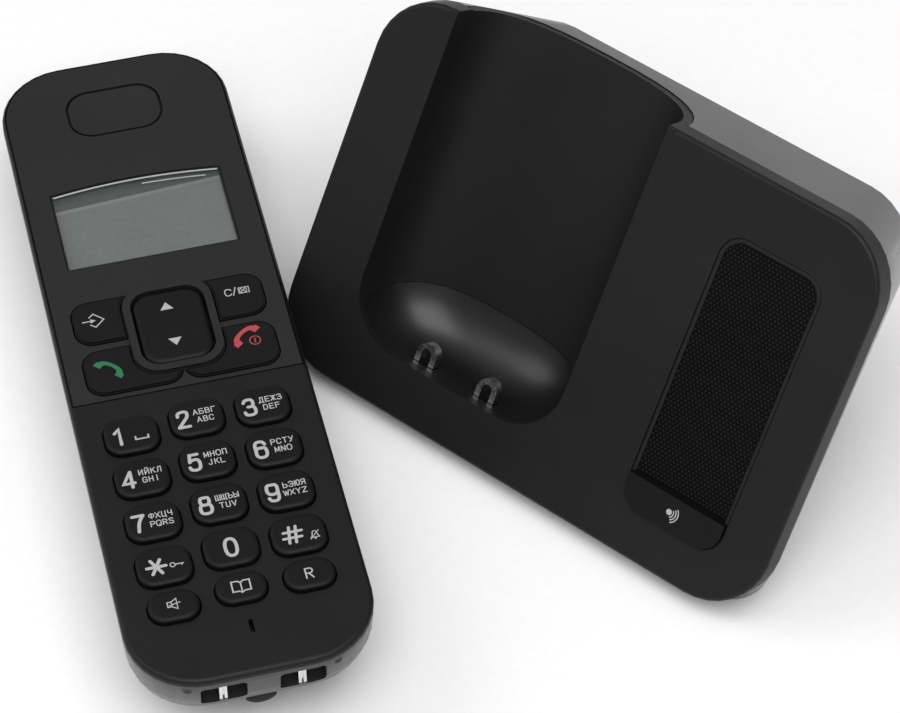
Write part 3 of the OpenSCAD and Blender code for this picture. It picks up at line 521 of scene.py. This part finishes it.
# ---------------------------------------------------------------- legends of the keys
LETTERS = {
    "key_2": ("2", "\u0410\u0411\u0412\u0413", "ABC"), "key_3": ("3", "\u0414\u0415\u0416\u0417", "DEF"),
    "key_4": ("4", "\u0418\u0419\u041a\u041b", "GHI"), "key_5": ("5", "\u041c\u041d\u041e\u041f", "JKL"),
    "key_6": ("6", "\u0420\u0421\u0422\u0423", "MNO"), "key_7": ("7", "\u0424\u0425\u0426\u0427", "PQRS"),
    "key_8": ("8", "\u0428\u0429\u042a\u042b", "TUV"), "key_9": ("9", "\u042c\u042d\u042e\u042f", "WXYZ"),
}
# height, width and stroke of the numbers; the same and the gap of the small letters
NUM_H, NUM_W, NUM_T = 3.75, 2.2, 0.68
CAP_H, CAP_W, CAP_T, CAP_GAP = 1.22, 0.84, 0.21, 0.36


def number(ch, dx, dy):
    return sign(ch, NUM_H, NUM_W, NUM_T, 0.0, dx, dy)


def letters(text, dx, dy):
    return sign(text, CAP_H, CAP_W, CAP_T, CAP_GAP, dx, dy)


def key_print(key, parts, at=None, mat="legend_white", name=None):
    """The legend of a key of the handset, round the key's middle or the point given."""
    place_print(name or "print_" + key, parts, at or centre(key), key, mat, (HX, HY, HZ))


for key, (num, upper, lower) in LETTERS.items():
    key_print(key, number(num, -2.7, -0.35) + letters(upper, 1.7, 0.95) + letters(lower, 1.6, -1.0))
key_print("key_1", number("1", -2.5, -0.35) + [pen([(0.6, -1.0), (0.6, -1.7), (3.1, -1.7), (3.1, -1.0)], 0.34)])
key_print("key_0", number("0", 0.0, -0.3))
STAR_R = 1.85
star_arms = [(STAR_R * math.cos(t), STAR_R * math.sin(t)) for t in (math.radians(v) for v in (0, 60, 120))]
star = [pen([(-x, -y), (x, y)], 0.66) for x, y in star_arms]
key_print("key_star", [moved(p, -1.5, -0.3) for p in star] + [
    pen(circle(0.48, 16, 1.6, -0.5), 0.22, True), pen([(2.1, -0.5), (3.7, -0.5)], 0.24),
    pen([(3.35, -0.5), (3.35, -0.85)], 0.2)])
hash_bars = [pen(p, 0.58) for p in ([(-2.9, 0.5), (0.7, 0.5)], [(-3.1, -0.9), (0.5, -0.9)],
                                    [(-2.1, -2.1), (-1.6, 1.7)], [(-0.8, -2.1), (-0.3, 1.7)])]
bell = [pen(rounded([(1.7, -1.3), (2.1, -0.5), (2.2, 0.6), (3.2, 0.6), (3.3, -0.5), (3.7, -1.3)]), 0.26),
        pen([(1.6, -1.3), (3.8, -1.3)], 0.26), pen([(1.5, -1.7), (3.8, 0.7)], 0.22),
        blot(circle(0.28, 12, 2.7, -1.65))]
key_print("key_hash", hash_bars + [moved(p, 0.85, -0.75, 0.0, 0.78) for p in bell])
horn = [(-1.4, -0.65), (-1.4, 0.65), (-0.5, 0.65), (0.75, 1.45), (0.75, -1.45), (-0.5, -0.65)]
speaker = [pen(horn, 0.28, True), pen([(-0.45, -0.6), (-0.45, 0.6)], 0.24),
           pen([(-1.0, -0.25), (1.5, 0.25)], 0.24)]
key_print("key_mute", [moved(p, 0.0, 0.1, 0.0, 0.84) for p in speaker])
page = [(0.0, 0.75), (0.55, 1.15), (1.75, 1.15), (1.75, -1.2), (0.55, -1.2), (0.0, -1.55)]
key_print("key_book", [pen(page, 0.3, True), pen([(-x, y) for x, y in page], 0.3, True)])
key_print("key_recall", sign("R", 2.25, 1.5, 0.3, 0.0, -0.1, -0.15))

ABOVE_KEYS = 25


def at_face(x, y):
    return hp(x, y, ABOVE_KEYS)


key_print("menu_key", [
    pen([(-2.4, 0.0), (-0.1, 0.0)], 0.26), blot([(-0.75, 0.55), (-0.75, -0.55), (0.35, 0.0)]),
    pen([(-0.9, 0.95), (0.05, 1.75), (1.95, 0.0), (0.05, -1.75), (-0.9, -0.95)], 0.26)], at_face(-15.1, 90.7))
clear = [moved(p, -2.0) for p in sign("C", 1.8, 1.5, 0.26, 0, 0, 0)] + [
    pen([(-0.95, -1.05), (-0.25, 1.15)], 0.25),
    pen([(0.35, -0.8), (2.6, -0.8), (2.6, 0.8), (0.35, 0.8)], 0.2, True),
    pen([(0.75, -0.6), (1.95, 0.6)], 0.2), pen([(0.75, 0.6), (1.95, -0.6)], 0.2),
    pen(circle(0.8, 16, 1.35, 0.0), 0.17, True)]
key_print("clear_key", [moved(p, k=0.92) for p in clear], at_face(14.3, 91.4))


def receiver():
    """A telephone receiver lying on its back: a bowed grip and two square ends."""
    top = rounded([(-2.9, 0.2), (-2.2, 1.25), (0.0, 1.6), (2.2, 1.25), (2.9, 0.2)])
    low = rounded([(1.7, -0.1), (1.3, 0.55), (0.0, 0.75), (-1.3, 0.55), (-1.7, -0.1)])
    strip = [(top[i], low[len(low) - 1 - i]) for i in range(len(top))]
    verts = [v for pair in strip for v in pair]
    faces = [(2 * i, 2 * i + 1, 2 * i + 3, 2 * i + 2) for i in range(len(strip) - 1)]
    ends = [blot([(side * 3.1, 0.35), (side * 3.2, -0.75), (side * 1.65, -0.75), (side * 1.55, 0.25)])
            for side in (-1, 1)]
    return [(verts, faces)] + ends


key_print("talk_key", [moved(p, turn=math.radians(-42), k=1.04) for p in receiver()], at_face(-14.5, 77.6),
          "legend_green")
key_print("end_key", [moved(p, turn=math.radians(38), k=1.08) for p in receiver()] + [
    pen(circle(1.08, 20, 1.55, -1.55), 0.22, True), pen([(1.55, -2.05), (1.55, -1.05)], 0.26)],
    at_face(13.6, 79.5), "legend_red")
key_print("nav_key", [blot([(-1.35, -0.95), (1.35, -0.95), (0.0, 1.0)])], at_face(-0.4, 90.8))
key_print("nav_key", [blot([(-1.35, 0.95), (0.0, -1.0), (1.35, 0.95)])], at_face(-0.3, 81.3),
          name="print_nav_down")
waves = [pen(arc_points(-0.9, 0.35, r, -62, 38, 10), 0.26) for r in (1.15, 1.75, 2.35)]
calling = [moved(p, k=0.88) for p in [blot(circle(0.72, 20, -0.9, 0.35))] + waves]
place_print("print_page_key", calling, fp(37.3, 13.6, 0.5), "page_key", "legend_white", (FX, FU, FN))

# ---------------------------------------------------------------- display
# lens: width, height, middle, radius and rise of its bowed upper edge; heights of its top and of the display
LENS_W, LENS_L, LENS_Y, BOW_R, BOW_RISE = 35.6, 21.4, 116.0, 120.0, 0.8
LENS_TOP, FILM_Z = 24.29, 23.008
BOW_STEPS = 24


def lens_outline(inset):
    """The lens's outline, shrunk by inset, counted from the lower left corner."""
    half = LENS_W / 2 - inset
    bow_y = LENS_Y + LENS_L / 2 - BOW_R + BOW_RISE - inset
    xs = [half - 2 * half * i / BOW_STEPS for i in range(BOW_STEPS + 1)]
    low = LENS_Y - LENS_L / 2 + inset
    return [(-half, low), (half, low)] + [(x, bow_y + math.sqrt(BOW_R * BOW_R - x ** 2)) for x in xs]


def bow(inset):
    """The bowed upper edge alone, from right to left."""
    return lens_outline(inset)[2:]


def ribbon(name, outer, inner, z, mat, closed=False):
    """A flat strip between two lines of as many points, in handset millimetres."""
    n = len(outer)
    verts = [hp(x, y, z) for x, y in outer + inner]
    faces = [(i, n + i, n + (i + 1) % n, (i + 1) % n) for i in range(n if closed else n - 1)]
    add_mesh(name, verts, faces, mat, "handset")


ribbon("lens_line", lens_outline(0.0), lens_outline(0.32), LENS_TOP, "lens_line", True)
# painted highlight along the bowed upper bevel of the lens, and a painted glint just inside it
ribbon("lens_rim_highlight", bow(0.34), bow(0.74), LENS_TOP, "painted_bevel_highlight")
glint = [p for p in bow(1.9) if 1.0 < p[0] < 15.0]
ribbon("lens_glint", glint, [(x, y - 0.28) for x, y in glint], LENS_TOP, "painted_bevel_highlight")

# the display under it: picture, a painted shadow along its top, and a painted highlight (the glass edge's
# reflection) between them on a slightly rising line
FILM_INSET, HIGHLIGHT_W, CUT_LOW, CUT_RISE = 0.30, 0.9, 121.9, 2.2
top_edge = bow(FILM_INSET)
cut = [(x, CUT_LOW + CUT_RISE * (x + LENS_W / 2) / LENS_W) for x, _ in top_edge]
low_edge = [(x, LENS_Y - LENS_L / 2 + FILM_INSET) for x, _ in top_edge]
highlight_line = [(x, y + HIGHLIGHT_W) for x, y in cut]
ribbon("display_film", cut, low_edge, FILM_Z, "lcd")
ribbon("display_painted_shadow", top_edge, highlight_line, FILM_Z, "lcd_painted_shadow")
ribbon("display_painted_highlight", highlight_line, cut, FILM_Z, "lcd_painted_highlight")

# ---------------------------------------------------------------- grille: raised dots in rows
# panel on the face: middle, width, lower and upper end, corner radius
PANEL_X, PANEL_W, PANEL_LOW, PANEL_HIGH, PANEL_R = 37.0, 23.0, 9.8, 70.8, 5.0
# length of the page key, width of the rim, first line of dots above the key
PAGE_L, RIM, DOTS_FROM = 7.4, 1.0, 0.75
DOT_PITCH, DOT_R, DOT_H, DOT_SIDES = 0.90, 0.29, 0.20, 6
# share of a dot's radius and of its height, from its foot up
DOT_PROFILE = [(1.0, 0.0), (0.86, 0.6), (0.45, 1.0)]
GROUND_Z = -0.4
# rim from its outer foot to its inner one: inset and height
RIM_PROFILE = [(0.16, -0.40), (0.16, -0.12), (0.30, -0.05), (0.75, -0.05), (0.98, -0.16), (1.02, -0.40)]
RIM_LOW, CORNER_STEPS = 0.32, 8


def in_panel(x, y):
    """True inside the rounded panel, above the page key, less its rim."""
    if y < PANEL_LOW + PAGE_L + DOTS_FROM:
        return False
    half = PANEL_W / 2 - RIM
    r = PANEL_R - RIM
    dx = abs(x - PANEL_X) - (half - r)
    dy = y - (PANEL_HIGH - RIM - r)
    if dx > r or y > PANEL_HIGH - RIM:
        return False
    return not (dx > 0 and dy > 0 and dx * dx + dy * dy > r * r)


def dot_centres():
    row_step = DOT_PITCH * math.sqrt(3) / 2
    rows = int((PANEL_HIGH - PANEL_LOW) / row_step) + 1
    cols = int(PANEL_W / DOT_PITCH) + 2
    spots = [(PANEL_X - PANEL_W / 2 + (i + 0.5 * (j % 2)) * DOT_PITCH, PANEL_LOW + j * row_step)
             for j in range(rows) for i in range(cols)]
    return [spot for spot in spots if in_panel(*spot)]


def grille_dots():
    verts, faces = [], []
    n = DOT_SIDES
    turns = [2 * math.pi * k / n for k in range(n)]
    for x, y in dot_centres():
        base = len(verts)
        for r_share, z_share in DOT_PROFILE:
            r, z = DOT_R * r_share, GROUND_Z + DOT_H * z_share
            verts += [fp(x + r * math.cos(t), y + r * math.sin(t), z) for t in turns]
        for ring in range(base, base + 2 * n, n):
            faces += [(ring + k, ring + (k + 1) % n, ring + n + (k + 1) % n, ring + n + k) for k in range(n)]
        faces.append(tuple(base + 2 * n + k for k in range(n)))
    add_mesh("grille_weave", verts, faces, "mesh_dots", "base", smooth=True)


def rim_outline(inset):
    """The rim's line from its lower left end over the two upper corners to its lower right end."""
    half = PANEL_W / 2 - inset
    r = PANEL_R - inset
    low = PANEL_LOW + PAGE_L + RIM_LOW
    pts = [(PANEL_X - half, low)]
    for cx, start in ((PANEL_X - half + r, 180), (PANEL_X + half - r, 90)):
        pts += arc_points(cx, PANEL_HIGH - inset - r, r, start, start - 90, CORNER_STEPS)
    return pts + [(PANEL_X + half, low)]


def grille_rim():
    """The plain rim round the weave, which rounds down into it."""
    rings = [[fp(x, y, z) for x, y in rim_outline(inset)] for inset, z in RIM_PROFILE]
    n = len(rings[0])
    verts = [v for ring in rings for v in ring]
    faces = [(j * n + i, j * n + i + 1, (j + 1) * n + i + 1, (j + 1) * n + i)
             for j in range(len(rings) - 1) for i in range(n - 1)]
    add_mesh("grille_rim", verts, faces, "front_shell", "base", smooth=True)


grille_dots()
grille_rim()

# ---------------------------------------------------------------- floor, lights, camera
FLOOR_HALF = 6.0


def link(name, data):
    ob = bpy.data.objects.new(name, data)
    bpy.context.scene.collection.objects.link(ob)
    return ob


def aim(ob, direction):
    """Turns a light or camera to look along a direction."""
    ob.rotation_mode = "QUATERNION"
    ob.rotation_quaternion = direction.to_track_quat("-Z", "Y")


def floor():
    me = bpy.data.meshes.new("floor")
    s = FLOOR_HALF
    me.from_pydata([(-s, -s, 0), (s, -s, 0), (s, s, 0), (-s, s, 0)], [], [(0, 1, 2, 3)])
    ob = link("floor", me)
    ob.location.z = -0.1 * MM
    nt, b = new_mat("floor_paper")
    n1 = noise(nt, coords(nt), 400.0, 2.0, 0.6)
    nt.links.new(ramp(nt, n1, [(0.3, (0.93, 0.93, 0.93)), (0.7, (0.95, 0.95, 0.95))]), b.inputs["Base Color"])
    b.inputs["Roughness"].default_value = 0.8
    add_bump(nt, b, n1, 0.05, 0.0001)
    me.materials.append(MATS["floor_paper"])


floor()


LIGHT_TARGET = Vector((-0.03, 0.0, 0.0))


def area(name, loc, size, power):
    li = bpy.data.lights.new(name, "AREA")
    li.energy = power
    li.size = size
    ob = link(name, li)
    ob.location = loc
    aim(ob, LIGHT_TARGET - Vector(loc))


world = bpy.data.worlds.new("world")
bpy.context.scene.world = world
world.use_nodes = True
background = world.node_tree.nodes["Background"]
background.inputs["Color"].default_value = (1, 1, 1, 1)
background.inputs["Strength"].default_value = 0.40

area("key_light", (0.34, -0.38, 1.20), 1.1, 13.6)
area("fill_light", (-0.95, -0.55, 0.95), 0.8, 4.0)
bpy.context.scene.view_settings.view_transform = "Standard"

cam_data = bpy.data.cameras.new("camera")
cam = link("camera", cam_data)
bpy.context.scene.camera = cam
LOOK = Vector((-29.7, -10.7, 0.0)) * MM
AZ, EL, DIST = math.radians(37.3), math.radians(50.66), 754.8 * MM
# from the point looked at towards the camera
back = Vector((math.sin(AZ) * math.cos(EL), -math.cos(AZ) * math.cos(EL), math.sin(EL)))
cam.location = LOOK + back * DIST
aim(cam, -back)
cam_data.sensor_width = 36.0
cam_data.lens = 145.3
cam_data.clip_start = 0.01
cam_data.clip_end = 20
